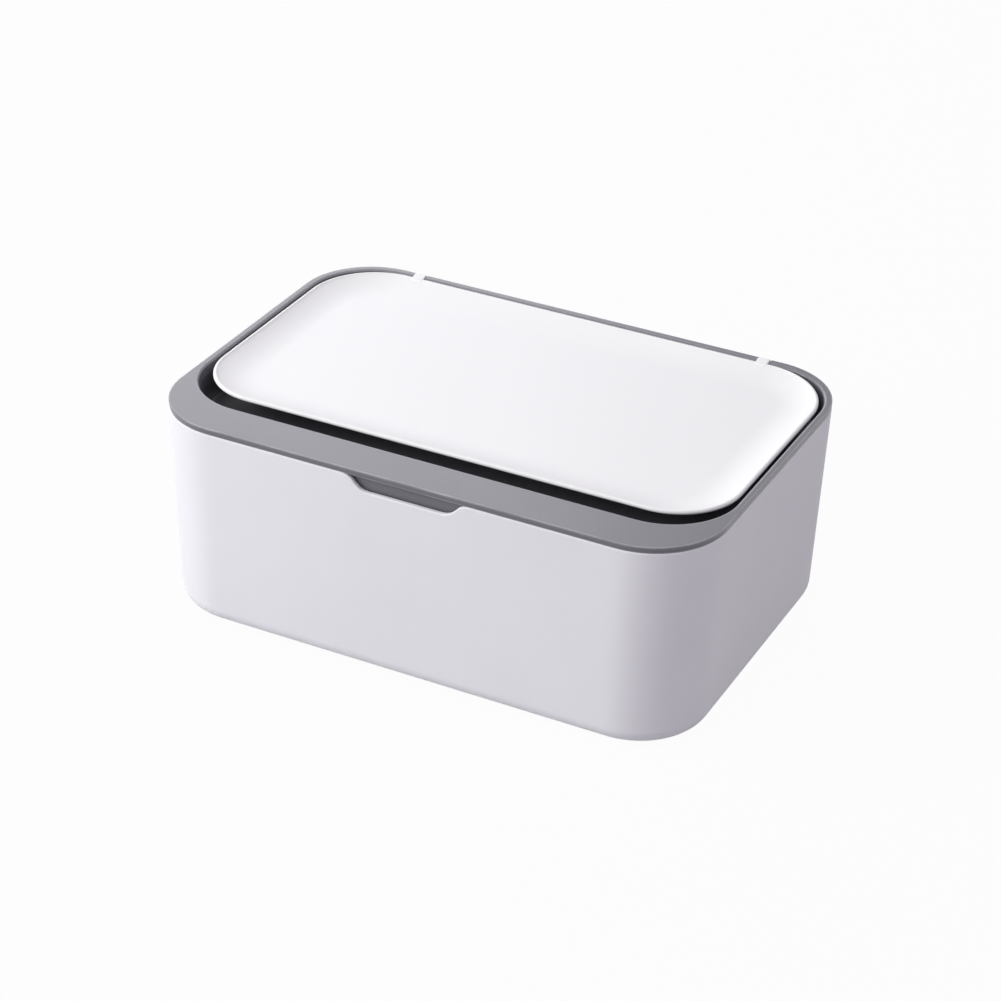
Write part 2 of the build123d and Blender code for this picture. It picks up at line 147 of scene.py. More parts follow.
class FrameSizes(bpy.types.PropertyGroup):
    """Sizes of the grey frame."""

    band: length("Band", "Level band where two outlines join", 1.0)
    fine_radius: length("Fine radius", "Rounding of the lip's lower edge", 0.15)
    edge_radius: length("Edge radius", "Rounding of the plain edges", 0.3)
    lip_radius: length("Lip radius", "Rounding of the lip's outer edge", 0.35)
    undercut: length("Lip undercut", "How far the lip's lower edge is drawn in over the tub's rim", 0.25)
    side_border: length("Side border", "Width of the lip at each end", 2.65)
    rear_border: length("Rear border", "Width of the lip at the back", 2.95)
    front_border: length("Front border", "Width of the lip at the front", 16.2)
    well_corner: length("Well corner", "Corner radius of the well", 24.1)
    well_depth: length("Well depth", "Depth of the well below the lip", 12.0)
    well_edge: length("Well edge", "Rounding of the well's upper edge", 0.9)
    step: length("Step", "Width of the step in the well's wall", 0.5)
    step_depth: length("Step depth", "Depth of the step below the lip", 1.3)
    step_fall: length("Step fall", "Height over which the step leans in", 1.6)
    well_draft: length("Well draft", "How far the well's wall leans in", 1.0)
    cove: length("Cove", "Rounding between the well's wall and floor", 3.0)
    cove_band: length("Cove band", "Level band inside the cove", 8.0)
    wall: length("Wall", "Thickness of the well's wall and floor", 1.6)
    skirt_wall: length("Skirt wall", "Thickness of the skirt", 1.4)
    skirt_gap: length("Skirt gap", "Room between the skirt and the tub", 0.35)
    groove: length("Groove", "Depth of the seal's groove", 0.7)
    rib_pitch: length("Rib pitch", "Distance between the ribs under the front border", 22.0)
    rib: length("Rib", "Thickness of a rib", 1.2)
    rib_count: bpy.props.IntProperty(name="Ribs", description="Number of ribs", default=7)
    port_length: length("Port length", "Length of the port's pocket", 96.0)
    port_width: length("Port width", "Width of the port's pocket", 44.0)
    port_ledge: length("Port ledge", "Width of the ledge that carries the insert", 3.0)
    port_rebate: length("Port rebate", "Depth of the ledge below the well's floor", 0.8)
    collar_wall: length("Collar wall", "Thickness of the collar", 2.0)
    collar: length("Collar", "Height of the collar above the well's floor", 4.4)
    collar_band: length("Collar band", "Level band round the collar", 2.0)
    collar_root: length("Collar root", "Rounding at the collar's foot and inner edge", 0.5)
    collar_radius: length("Collar radius", "Rounding of the collar's outer edge", 0.6)


class LidSizes(bpy.types.PropertyGroup):
    """Sizes of the lid and its hinges."""

    rear_gap: length("Rear gap", "Gap behind the lid", 0.5)
    front_corner: length("Front corner", "Radius of the lid's front corners", 23.0)
    rear_corner: length("Rear corner", "Radius of the lid's rear corners", 25.5)
    proud: length("Proud", "How far the lid's rim stands above the frame", 0.1)
    edge: length("Edge", "Height of the lid's outer edge", 1.5)
    rim: length("Rim", "Width of the raised rim", 1.1)
    dish: length("Dish", "Depth of the dish below the rim", 2.6)
    blend: length("Blend", "Width of the sloping border", 14.0)
    dish_band: length("Dish band", "Level band inside the sloping border", 3.0)
    wall: length("Wall", "Thickness of the lid", 1.6)
    edge_radius: length("Edge radius", "Rounding of the lid's upper edge", 0.75)
    heel_radius: length("Heel radius", "Rounding of the lid's lower edge", 0.4)
    heel_inset: length("Heel inset", "How far the lid's lower edge is drawn in", 0.5)
    crest_radius: length("Crest radius", "Rounding of the rim's inner edge", 0.35)
    post: length("Post", "Width of a post under the lid", 3.0)
    post_edge_x: length("Post end distance", "From a post to the liner's end", 7.0)
    post_edge_y: length("Post side distance", "From a post to the liner's side", 12.0)
    tab: length("Tab", "Width of a hinge tab", 4.46)
    tab_edge: length("Tab edge", "Rounding of a hinge tab's edges", 0.45)
    barrel: length("Barrel", "Radius of the barrel round the hinge pin", 1.75)
    barrel_gap: length("Barrel gap", "Room under the barrel", 0.4)
    tab_gap: length("Tab gap", "Room at each side of a hinge tab", 0.12)
    slot_round: length("Slot rounding", "Rounding of the lip's ends beside a tab", 0.35)


class SoftSizes(bpy.types.PropertyGroup):
    """Sizes of the soft parts."""

    slit_length: length("Slit length", "Length of the slit", 66.0)
    slit_width: length("Slit width", "Width of the slit", 9.0)
    eye_length: length("Eye length", "Length of the slit's wider middle", 26.0)
    eye_width: length("Eye width", "Width of the slit's wider middle", 18.0)
    seal_bulge: length("Seal bulge", "Height of the seal's two soft ridges", 0.3)
    seal_spread: length("Seal spread", "How far the lid's seal reaches past the collar's wall", 0.6)
    pad_corner: length("Pad corner", "Rounding of a foot pad's corners", 3.2)
    pad_edge: length("Pad edge", "Rounding of a foot pad's lower edge", 0.4)


class Finishes(bpy.types.PropertyGroup):
    """Colours of the finishes."""

    tub: colour("Tub", "Matte white of the tub", (0.765, 0.765, 0.785))
    lid: colour("Lid", "Satin white of the lid", (0.852, 0.86, 0.845))
    inside: colour("Inside", "White of the parts inside", (0.78, 0.79, 0.80))
    grey: colour("Grey", "Satin grey of the frame", (0.135, 0.133, 0.152))
    silicone: colour("Silicone", "Soft pale grey of the seals", (0.62, 0.63, 0.65))
    pads: colour("Pads", "Soft grey of the foot pads", (0.40, 0.41, 0.42))
    steel: colour("Steel", "Pins and weights", (0.60, 0.60, 0.62))
    floor: colour("Floor", "Pale floor", (0.53, 0.515, 0.55))
    # Edges turn towards this colour: faintly as scuffing, and strongly on the frame as painted highlight
    # lines
    worn_and_highlit: colour("Worn and highlight", "What rubbed edges turn towards", (0.70, 0.70, 0.72))
    dust: colour("Dust", "What settles on level faces", (0.55, 0.54, 0.52))


class StageSettings(bpy.types.PropertyGroup):
    """Camera, floor and the light from all round."""

    azimuth: angle("Azimuth", "Camera's turn round the object", 26.387)
    elevation: angle("Elevation", "Camera's height above the horizon", 30.274)
    roll: angle("Roll", "Camera's roll", 1.4107)
    distance: length("Distance", "From the camera to the middle of the base", 992.34)
    across: length("Across", "The view's middle, to the left", -1.1)
    upward: length("Upward", "The view's middle, downward", -30.28)
    ground: length("Ground", "Height of the tub's base over the floor", 0.5)
    lens: plain("Lens", "Focal length in millimetres on a 36 mm sensor", 102.629)
    world: plain("World", "Strength of the light from all round", 0.38)
    world_tint: colour("World tint", "Colour of the light from all round", (0.94, 0.86, 1.0))
    floor_share: plain("Floor share", "Share of plain white in the floor that the camera sees", 0.96)


def lamp_settings(name, place, watts, turn, rise, distance, size, tint):
    """A group of settings for one square lamp."""
    rows = {
        "watts": bpy.props.FloatProperty(
            name="Power", description=f"Power of the lamp {place}", default=watts, unit="POWER"),
        "turn": angle("Turn", "The lamp's turn round the object", turn),
        "rise": angle("Rise", "The lamp's height above the horizon", rise),
        "distance": length("Distance", "From the lamp to the object", distance),
        "size": length("Size", "Side of the lamp", size),
        "tint": colour("Tint", "Colour of the lamp", tint),
    }
    parts = {"__doc__": f"The lamp {place}.", "__annotations__": rows}
    return type(f"{name.capitalize()}Lamp", (bpy.types.PropertyGroup,), parts)


# The lamps: where each stands, its power, turn, rise, distance, size and colour
LAMPS = {
    "key": ("at the left", 14.1, -52.0, 27.0, 1300.0, 900.0, (0.99, 1.0, 0.98)),
    "fill": ("above", 6.4, 60.0, 65.0, 1500.0, 1300.0, (0.97, 1.0, 0.99)),
    "sheen": ("behind, which the level faces mirror", 3.5, -140.0, 30.0, 1200.0, 700.0, (0.96, 0.94, 1.0)),
}

GROUPS = {
    "wipes_tub": TubSizes,
    "wipes_frame": FrameSizes,
    "wipes_lid": LidSizes,
    "wipes_soft": SoftSizes,
    "wipes_finish": Finishes,
    "wipes_stage": StageSettings,
    **{f"wipes_{name}": lamp_settings(name, *row) for name, row in LAMPS.items()},
}


def rounded_outline(reach_x, reach_y, front, rear, centre_y=0.0):
    """Points round a rectangle with rounded corners, from the front right corner, seen from above."""
    corners = ((1, -1, front, -90), (1, 1, rear, 0), (-1, 1, rear, 90), (-1, -1, front, 180))
    arcs = []
    for side_x, side_y, radius, start in corners:
        middle = Vector((side_x * (reach_x - radius), side_y * (reach_y - radius) + centre_y))
        arc = []
        for step in range(CORNER_STEPS + 1):
            turn = math.radians(start + 90 * step / CORNER_STEPS)
            arc.append(middle + radius * Vector((math.cos(turn), math.sin(turn))))
        arcs.append(arc)
    points = []
    for index, arc in enumerate(arcs):
        points += arc
        after = arcs[(index + 1) % len(arcs)][0]
        steps = END_STEPS if index % 2 == 0 else LONG_STEPS
        points += [arc[-1].lerp(after, step / steps) for step in range(1, steps)]
    return points


def lift(outline, height):
    """An outline as a ring at one height."""
    return [Vector((point.x, point.y, height)) for point in outline]


def box_reach(inset, height):
    """The box's reach in X and Y and its corner radius at a height; the walls lean in towards the base."""
    sizes = bpy.context.scene.wipes_tub
    drop = max(0.0, (TUB_HIGH.z - height) / (TUB_HIGH.z - TUB_LOW.z))
    reach_x = FRAME_HIGH.x - sizes.end_draft * drop - inset
    reach_y = FRAME_HIGH.y - sizes.side_draft * drop - inset
    return reach_x, reach_y, sizes.corner - (sizes.corner - sizes.base_corner) * drop - inset


def box_ring(inset, height):
    """The box's outline at a height, drawn in by inset."""
    reach_x, reach_y, corner = box_reach(inset, height)
    return lift(rounded_outline(reach_x, reach_y, corner, corner), height)


def skirt_inset():
    """How far the frame's skirt lies inside the box's outline."""
    return bpy.context.scene.wipes_tub.wall + bpy.context.scene.wipes_frame.skirt_gap


def well_centre():
    """Where the well's middle is along Y."""
    sizes = bpy.context.scene.wipes_frame
    return (sizes.front_border - sizes.rear_border) / 2


def well_ring(inset, height):
    """The well's outline, drawn in by inset."""
    sizes = bpy.context.scene.wipes_frame
    reach_x = FRAME_HIGH.x - sizes.side_border - inset
    reach_y = FRAME_HIGH.y - (sizes.front_border + sizes.rear_border) / 2 - inset
    corner = sizes.well_corner - inset
    return lift(rounded_outline(reach_x, reach_y, corner, corner, well_centre()), height)


def port_ring(inset, height):
    """The port pocket's outline, drawn in by inset."""
    sizes = bpy.context.scene.wipes_frame
    reach_x = sizes.port_length / 2 - inset
    reach_y = sizes.port_width / 2 - inset
    return lift(rounded_outline(reach_x, reach_y, reach_y, reach_y, well_centre()), height)


def lid_span():
    """The lid's front and back edges along Y, without its tabs."""
    sizes = bpy.context.scene.wipes_lid
    back = FRAME_HIGH.y - bpy.context.scene.wipes_frame.rear_border - sizes.rear_gap
    return LID_LOW.y, back


def lid_ring(inset, height):
    """The lid's outline, drawn in by inset."""
    sizes = bpy.context.scene.wipes_lid
    front, back = lid_span()
    outline = rounded_outline(
        LID_HIGH.x - inset, (back - front) / 2 - inset, sizes.front_corner - inset,
        sizes.rear_corner - inset, (front + back) / 2
    )
    return lift(outline, height)


def rounded_section(corners):
    """A section's points, with each corner (inset, height, radius) rounded by its own radius."""
    points = []
    for index, (inset, height, radius) in enumerate(corners):
        corner = Vector((inset, height))
        if radius == 0:
            points.append(corner)
            continue
        before = (Vector(corners[index - 1][:2]) - corner).normalized()
        after = (Vector(corners[index + 1][:2]) - corner).normalized()
        half = before.angle(after) / 2
        middle = corner + (before + after).normalized() * radius / math.sin(half)
        start = corner + before * radius / math.tan(half) - middle
        end = corner + after * radius / math.tan(half) - middle
        swing = start.angle(end)
        steps = max(2, math.ceil(swing / ARC_STEP))
        for step in range(steps + 1):
            share = step / steps
            away = start * math.sin((1 - share) * swing) + end * math.sin(share * swing)
            points.append(middle + away / math.sin(swing))
    return points


def rings_of(ring, corners):
    """Rings that follow a section round one outline."""
    return [ring(point.x, point.y) for point in rounded_section(corners)]


def loft(name, rings, closed=False):
    """A closed mesh through rings of equal length, capped at its ends or joined into a loop."""
    mesh = bmesh.new()
    loops = [[mesh.verts.new(point) for point in ring] for ring in rings]
    pairs = list(zip(loops, loops[1:]))
    if closed:
        pairs.append((loops[-1], loops[0]))
    else:
        mesh.faces.new(loops[0])
        mesh.faces.new(loops[-1])
    for low, high in pairs:
        for index in range(len(low)):
            after = (index + 1) % len(low)
            mesh.faces.new((low[index], low[after], high[after], high[index]))
    return settle(name, mesh)


def settle(name, mesh):
    """Merge what meets, turn the faces outward and put the mesh in an object of that name."""
    bmesh.ops.remove_doubles(mesh, verts=mesh.verts, dist=MERGE)
    bmesh.ops.dissolve_degenerate(mesh, edges=mesh.edges, dist=MERGE)
    bmesh.ops.recalc_face_normals(mesh, faces=mesh.faces)
    return placed(name, mesh)


def placed(name, mesh):
    """Put a working mesh in a new object of that name."""
    data = bpy.data.meshes.new(name)
    mesh.to_mesh(data)
    mesh.free()
    piece = bpy.data.objects.new(name, data)
    bpy.context.scene.collection.objects.link(piece)
    return piece


def bake(piece):
    """Turn a piece with modifiers into a plain mesh."""
    graph = bpy.context.evaluated_depsgraph_get()
    done = bpy.data.meshes.new_from_object(piece.evaluated_get(graph))
    old = piece.data
    piece.modifiers.clear()
    piece.data = done
    done.name = piece.name
    bpy.data.meshes.remove(old)
    return piece


def combine(piece, other, operation):
    """Join another piece to this one or cut it away, and remove the other."""
    modifier = piece.modifiers.new(operation, "BOOLEAN")
    modifier.operation = operation
    modifier.solver = "EXACT"
    modifier.object = other
    bake(piece)
    bpy.data.objects.remove(other)
    return piece


def smooth(piece, limit=HARD_EDGE):
    """Smooth shading that keeps sharp edges and leaves flat faces flat."""
    piece.data.shade_smooth()
    piece.data.set_sharp_from_angle(angle=math.radians(limit))
    modifier = piece.modifiers.new("flats", "WEIGHTED_NORMAL")
    modifier.keep_sharp = True
    return bake(piece)


def dress(piece, material):
    """Give a piece one material."""
    piece.data.materials.clear()
    piece.data.materials.append(material)


def finished(piece, material, limit=HARD_EDGE):
    """Smooth a piece and give it its material."""
    smooth(piece, limit)
    dress(piece, material)
    return piece


def set_inputs(modifier, values):
    """Set a node modifier's inputs by their names, through their identifiers."""
    for item in modifier.node_group.interface.items_tree:
        if item.item_type == "SOCKET" and item.in_out == "INPUT" and item.name in values:
            modifier[item.identifier] = values[item.name]


def feed(tree, node, feeds):
    """Fill a node's inputs with values, or link them to sockets, and return its outputs."""
    for label, value in feeds.items():
        if isinstance(value, bpy.types.NodeSocket):
            tree.links.new(value, node.inputs[label])
        else:
            node.inputs[label].default_value = value
    return node.outputs


def add(tree, kind, feeds=None, **settings):
    """Add a node with its own settings, feed its inputs and return its outputs."""
    node = tree.nodes.new(kind)
    for label, value in settings.items():
        setattr(node, label, value)
    return feed(tree, node, feeds or {})


def reckon(tree, operation, first, second, clamp=False):
    """The result of one sum on two values or sockets."""
    return add(tree, "ShaderNodeMath", {0: first, 1: second}, operation=operation, use_clamp=clamp)[0]


def new_group(kind, name, inputs, outputs):
    """An empty node group and its inputs' sockets: inputs (name, type, default), outputs (name, type)."""
    tree = bpy.data.node_groups.new(name, kind)
    for label, socket_type, default in inputs:
        socket = tree.interface.new_socket(label, in_out="INPUT", socket_type=f"NodeSocket{socket_type}")
        if default is not None:
            socket.default_value = default
    for label, socket_type in outputs:
        tree.interface.new_socket(label, in_out="OUTPUT", socket_type=f"NodeSocket{socket_type}")
    return tree, tree.nodes.new("NodeGroupInput").outputs


def group_named(name, maker):
    """The node group of that name, made the first time it is asked for."""
    return bpy.data.node_groups.get(name) or maker(name)


def end_tree(tree, given, geometry):
    """Place a tree's geometry along Y and Z, make it real, give it the material and put it out."""
    shift = add(tree, "ShaderNodeCombineXYZ", {"Y": given["Centre Y"], "Z": given["Height"]})
    moved = add(tree, "GeometryNodeTransform", {"Geometry": geometry, "Translation": shift["Vector"]})
    real = add(tree, "GeometryNodeRealizeInstances", {"Geometry": moved["Geometry"]})
    done = add(tree, "GeometryNodeSetMaterial", {"Geometry": real["Geometry"], "Material": given["Material"]})
    add(tree, "NodeGroupOutput", {"Geometry": done["Geometry"]})
    return tree


def copies_tree(name):
    """Copies of the piece's own geometry on a grid of places."""
    tree, given = new_group("GeometryNodeTree", name, [
        ("Geometry", "Geometry", None), ("Across", "Int", 2), ("Along", "Int", 2), ("Spread X", "Float", 0.1),
        ("Spread Y", "Float", 0.1), ("Centre Y", "Float", 0.0), ("Height", "Float", 0.0),
        ("Material", "Material", None),
    ], [("Geometry", "Geometry")])
    grid = add(tree, "GeometryNodeMeshGrid", {
        "Size X": given["Spread X"], "Size Y": given["Spread Y"],
        "Vertices X": given["Across"], "Vertices Y": given["Along"],
    })
    copies = add(tree, "GeometryNodeInstanceOnPoints", {
        "Points": grid["Mesh"], "Instance": given["Geometry"],
    })
    return end_tree(tree, given, copies["Instances"])


def sweep_tree(name):
    """The piece's own section, swept round a rectangle with rounded corners."""
    tree, given = new_group("GeometryNodeTree", name, [
        ("Geometry", "Geometry", None), ("Length", "Float", 0.2), ("Width", "Float", 0.1),
        ("Corner", "Float", 0.02), ("Steps", "Int", 24), ("Centre Y", "Float", 0.0), ("Height", "Float", 0.0),
        ("Material", "Material", None),
    ], [("Geometry", "Geometry")])
    path = add(tree, "GeometryNodeCurvePrimitiveQuadrilateral", {
        "Width": given["Length"], "Height": given["Width"],
    })
    rounded = add(tree, "GeometryNodeFilletCurve", {
        "Curve": path["Curve"], "Count": given["Steps"], "Radius": given["Corner"],
    }, mode="POLY")
    upright = add(tree, "GeometryNodeSetCurveNormal", {"Curve": rounded["Curve"]}, mode="Z_UP")
    section = add(tree, "GeometryNodeMeshToCurve", {"Mesh": given["Geometry"]})
    swept_mesh = add(tree, "GeometryNodeCurveToMesh", {
        "Curve": upright["Curve"], "Profile Curve": section["Curve"],
    })
    return end_tree(tree, given, swept_mesh["Mesh"])


def repeat(piece, across, along, spread_x, spread_y, centre_y=0.0, material=None):
    """Put copies of a piece on a grid of places."""
    modifier = piece.modifiers.new("copies", "NODES")
    modifier.node_group = group_named("Copies on a grid", copies_tree)
    set_inputs(modifier, {
        "Across": across, "Along": along, "Spread X": spread_x, "Spread Y": spread_y,
        "Centre Y": centre_y, "Material": material,
    })
    return bake(piece)


def swept(name, section, reach_x, reach_y, corner, centre_y, height, material):
    """A ring with a section of (outward, upward) points, swept round a rounded rectangle."""
    mesh = bmesh.new()
    points = [mesh.verts.new((out, up, 0)) for out, up in section]
    for index, point in enumerate(points):
        mesh.edges.new((point, points[(index + 1) % len(points)]))
    piece = placed(name, mesh)
    modifier = piece.modifiers.new("sweep", "NODES")
    modifier.node_group = group_named("Section round a rounded rectangle", sweep_tree)
    set_inputs(modifier, {
        "Length": 2 * reach_x, "Width": 2 * reach_y, "Corner": corner, "Steps": CORNER_STEPS,
        "Centre Y": centre_y, "Height": height, "Material": material,
    })
    bake(piece)
    mesh = bmesh.new()
    mesh.from_mesh(piece.data)
    bmesh.ops.remove_doubles(mesh, verts=mesh.verts, dist=MERGE)
    bmesh.ops.recalc_face_normals(mesh, faces=mesh.faces)
    mesh.to_mesh(piece.data)
    mesh.free()
    return smooth(piece, SOFT_EDGE)


def block(name, low, high):
    """A plain box between two corners, for cutting."""
    mesh = bmesh.new()
    bmesh.ops.create_cube(mesh, size=1.0)
    low, high = Vector(low), Vector(high)
    size = Matrix.Diagonal((*(high - low), 1.0))
    bmesh.ops.transform(mesh, matrix=Matrix.Translation((low + high) / 2) @ size, verts=mesh.verts)
    return settle(name, mesh)


def prism(name, outline, low_z, high_z):
    """An upright prism on an outline of (x, y) points."""
    return loft(name, [[Vector((x, y, z)) for x, y in outline] for z in (low_z, high_z)])


def notch_drop(x):
    """How far the finger notch lowers the tub's rim at x: a flat between two S-curves."""
    sizes = bpy.context.scene.wipes_tub
    top, flat = sizes.notch_top / 2, sizes.notch_flat / 2
    half_run, half_drop = (top - flat) / 2, sizes.notch_depth / 2
    radius = (half_run ** 2 + half_drop ** 2) / (2 * half_drop)
    away = abs(x)
    if away >= top:
        return 0.0
    if away <= flat:
        return sizes.notch_depth
    if away > (top + flat) / 2:
        return radius - math.sqrt(radius ** 2 - (top - away) ** 2)
    return sizes.notch_depth - radius + math.sqrt(radius ** 2 - (away - flat) ** 2)


def hinge_middle():
    """The hinge pin's middle on the right side."""
    return (PIN_LOW + PIN_HIGH) / 2


def hinge_cutter(top):
    """The slots across a back rim for both hinge tabs, with their ends flared like the rim's rounding."""
    lid, sizes = bpy.context.scene.wipes_lid, bpy.context.scene.wipes_frame
    half = lid.tab / 2 + lid.tab_gap
    inner, outer = FRAME_HIGH.y - sizes.rear_border, FRAME_HIGH.y
    radius = lid.slot_round
    edge = []
    for step in range(SLOPE_STEPS // 2 + 1):
        turn = math.radians(90 * step / (SLOPE_STEPS // 2))
        edge.append((half + radius * (1 - math.sin(turn)), inner + radius * (1 - math.cos(turn))))
    edge += [(x, inner + outer - y) for x, y in reversed(edge)]
    edge = [(edge[0][0], inner - radius), *edge, (edge[-1][0], outer + radius)]
    outline = edge + [(-x, y) for x, y in reversed(edge)]
    low = hinge_middle().z - lid.barrel - lid.barrel_gap
    cutter = prism("hinge_cutter", outline, low, top + OVERSHOOT)
    return repeat(cutter, 2, 1, 2 * hinge_middle().x, 0.0)


def make_tub(material):
    """The tub: leaning walls, a rounded foot, a rounded rim with the finger notch, and the hinge reliefs."""
    sizes = bpy.context.scene.wipes_tub
    rim, base, floor = TUB_HIGH.z, TUB_LOW.z, TUB_LOW.z + sizes.floor
    under_notch = rim - sizes.notch_depth - sizes.notch_ease
    flat = sizes.foot_radius + sizes.base_band
    corners = [
        (flat, base, 0), (0, base, sizes.foot_radius), (0, (base + rim) / 2, 0), (0, under_notch, 0),
        (0, rim, sizes.rim_radius), (sizes.wall, rim, sizes.rim_radius / 2), (sizes.wall, under_notch, 0),
        (sizes.wall, (base + rim) / 2, 0), (sizes.wall, floor, sizes.inner_radius), (flat, floor, 0),
    ]
    rings = rings_of(box_ring, corners)
    for ring in rings:
        if ring[0].z > under_notch + sizes.rim_radius:
            for point in ring:
                if point.y < 0:
                    point.z -= notch_drop(point.x)
    tub = loft("tub_body", rings)
    combine(tub, hinge_cutter(rim), "DIFFERENCE")
    return finished(tub, material)


def make_frame(material):
    """The frame: lip, skirt with its groove, well, collar and port, then the channel and hinge slots."""
    sizes = bpy.context.scene.wipes_frame
    top, under, low = FRAME_HIGH.z, TUB_HIGH.z, FRAME_LOW.z
    floor = top - sizes.well_depth
    skirt = skirt_inset()
    groove = skirt + sizes.groove
    fine, edge, root = sizes.fine_radius, sizes.edge_radius, sizes.collar_root
    rings = rings_of(box_ring, [
        (skirt + sizes.band, low, 0), (skirt, low, edge), (skirt, SEAL_LOW.z, 0), (groove, SEAL_LOW.z, 0),
        (groove, SEAL_HIGH.z, 0), (skirt, SEAL_HIGH.z, 0), (skirt, under, 0), (sizes.undercut, under, fine),
        (0, top - 2 * sizes.lip_radius, fine), (0, top, sizes.lip_radius), (sizes.band, top, 0),
    ])
    ledge = top - sizes.step_depth
    rings += rings_of(well_ring, [
        (-sizes.well_edge, top, 0), (0, top, sizes.well_edge), (0, ledge, edge),
        (sizes.step, ledge - sizes.step_fall, edge),
        (sizes.step + sizes.well_draft, floor, sizes.cove), (sizes.cove_band, floor, 0),
    ])
    pocket = floor - sizes.port_rebate
    collar_top = floor + sizes.collar
    rings += rings_of(port_ring, [
        (-sizes.collar_wall - sizes.collar_band, floor, 0), (-sizes.collar_wall, floor, root),
        (-sizes.collar_wall, collar_top, sizes.collar_radius), (0, collar_top, root), (0, pocket, 0),
        (sizes.port_ledge, pocket, edge), (sizes.port_ledge, low, edge), (sizes.band, low, 0),
    ])
    body = loft("frame_body", rings, closed=True)
    combine(body, channel_cutter(low, under), "DIFFERENCE")
    combine(body, hinge_cutter(top), "DIFFERENCE")
    return finished(body, material)


def channel_cutter(low, high):
    """The ribbed hollow under the front border, between the skirt and the well's wall."""
    sizes = bpy.context.scene.wipes_frame
    inset = skirt_inset() + sizes.skirt_wall
    hollow = loft("channel", [box_ring(inset, low - OVERSHOOT), box_ring(inset, high)])
    below, above = low - 2 * OVERSHOOT, high + OVERSHOOT
    wall = [
        well_ring(sizes.step + sizes.well_draft - sizes.wall, below),
        well_ring(sizes.step - sizes.wall, above),
    ]
    combine(hollow, loft("well_wall", wall), "DIFFERENCE")
    front = bpy.context.scene.wipes_tub.corner - FRAME_HIGH.y
    behind = block("behind", (-FRAME_HIGH.x, front, below), (FRAME_HIGH.x, FRAME_HIGH.y, above))
    combine(hollow, behind, "DIFFERENCE")
    rib = block("rib", (-sizes.rib / 2, FRAME_LOW.y, below), (sizes.rib / 2, 0, above))
    ribs = repeat(rib, sizes.rib_count, 1, (sizes.rib_count - 1) * sizes.rib_pitch, 0.0)
    return combine(hollow, ribs, "DIFFERENCE")


def slope(outer, inner):
    """Points on an arc from (inset, height) outer to inner, level at inner."""
    run, rise = inner[0] - outer[0], outer[1] - inner[1]
    radius = (run ** 2 + rise ** 2) / (2 * rise)
    swing = math.asin(run / radius)
    points = []
    for step in range(SLOPE_STEPS + 1):
        turn = swing * (1 - step / SLOPE_STEPS)
        points.append((inner[0] - radius * math.sin(turn), inner[1] + radius * (1 - math.cos(turn)), 0))
    return points


def make_lid(material):
    """The dished lid with its raised rim, its hinge tabs and the posts that carry the liner."""
    sizes = bpy.context.scene.wipes_lid
    top = FRAME_HIGH.z + sizes.proud
    heel = top - sizes.edge
    dish = top - sizes.dish
    under = dish - sizes.wall
    flat = sizes.blend + sizes.dish_band
    crest = (sizes.rim + sizes.crest_radius, top - sizes.crest_radius)
    heel_line = heel + sizes.heel_inset
    corners = [(flat, under, 0), *reversed(slope((sizes.heel_inset, heel), (sizes.blend, under)))]
    corners += [(0, heel_line, sizes.heel_radius), (0, top, sizes.edge_radius)]
    corners += [(sizes.rim, top, sizes.crest_radius), *slope(crest, (sizes.blend, dish)), (flat, dish, 0)]
    lid = loft("lid_dish", rings_of(lid_ring, corners))
    spread_x = LINER_HIGH.x - LINER_LOW.x - 2 * sizes.post_edge_x
    spread_y = LINER_HIGH.y - LINER_LOW.y - 2 * sizes.post_edge_y
    half = sizes.post / 2
    post = block("post", (-half, -half, LID_LOW.z), (half, half, under + sizes.wall / 2))
    combine(lid, repeat(post, 2, 2, spread_x, spread_y, well_centre()), "UNION")
    combine(lid, repeat(hinge_tab(top, heel), 2, 1, 2 * hinge_middle().x, 0.0), "UNION")
    return finished(lid, material)


def hinge_tab(top, heel):
    """One hinge tab at x = 0: a rounded arm from the lid's rim to the barrel round the pin."""
    sizes = bpy.context.scene.wipes_lid
    half, edge = sizes.tab / 2, sizes.tab_edge
    ends = [(half, edge), (half - edge / 3, edge / 3), (half - edge, 0)]
    places = [(-x, inset) for x, inset in ends] + ends[::-1]
    return loft("hinge_tab", [tab_ring(x, inset, (top - heel) / 2, heel) for x, inset in places])


def tab_ring(x, inset, root_radius, heel):
    """A hinge tab's outline across at x: the hull of the barrel and of the root in the lid's rim."""
    sizes, pin = bpy.context.scene.wipes_lid, hinge_middle()
    root = Vector((x, lid_span()[1] - sizes.rim, heel + root_radius))
    ends = (
        (Vector((x, pin.y, pin.z)), sizes.barrel - inset, -90, CORNER_STEPS),
        (root, root_radius - inset, 90, CORNER_STEPS // 2),
    )
    points = []
    for middle, radius, start, steps in ends:
        for step in range(steps + 1):
            turn = math.radians(start + 180 * step / steps)
            points.append(middle + radius * Vector((0, math.cos(turn), math.sin(turn))))
    return points


def insert_reach(turn, side, inset):
    """How far the insert's outer edge, or its slit, lies from its middle in one direction."""
    sizes = bpy.context.scene.wipes_soft
    if side == "outer":
        return slot_reach(turn, INSERT_HIGH.x - inset, (INSERT_HIGH.y - INSERT_LOW.y) / 2 - inset)
    slit = slot_reach(turn, sizes.slit_length / 2 + inset, sizes.slit_width / 2 + inset)
    eye = oval_reach(turn, sizes.eye_length / 2 + inset, sizes.eye_width / 2 + inset)
    return max(slit, eye)


def make_insert(material):
    """The soft plate in the port, with a raised lip round its slit."""
    turns = [2 * math.pi * (step + 0.5) / INSERT_STEPS for step in range(INSERT_STEPS)]
    rings = []
    for side, face, rows in INSERT_SECTION:
        for inset, height in rows:
            ring = []
            for turn in turns:
                reach = insert_reach(turn, side, inset * MM)
                y = well_centre() + reach * math.sin(turn)
                ring.append(Vector((reach * math.cos(turn), y, face + height * MM)))
            rings.append(ring)
    return finished(loft("port_lips", rings, closed=True), material, SOFT_EDGE)


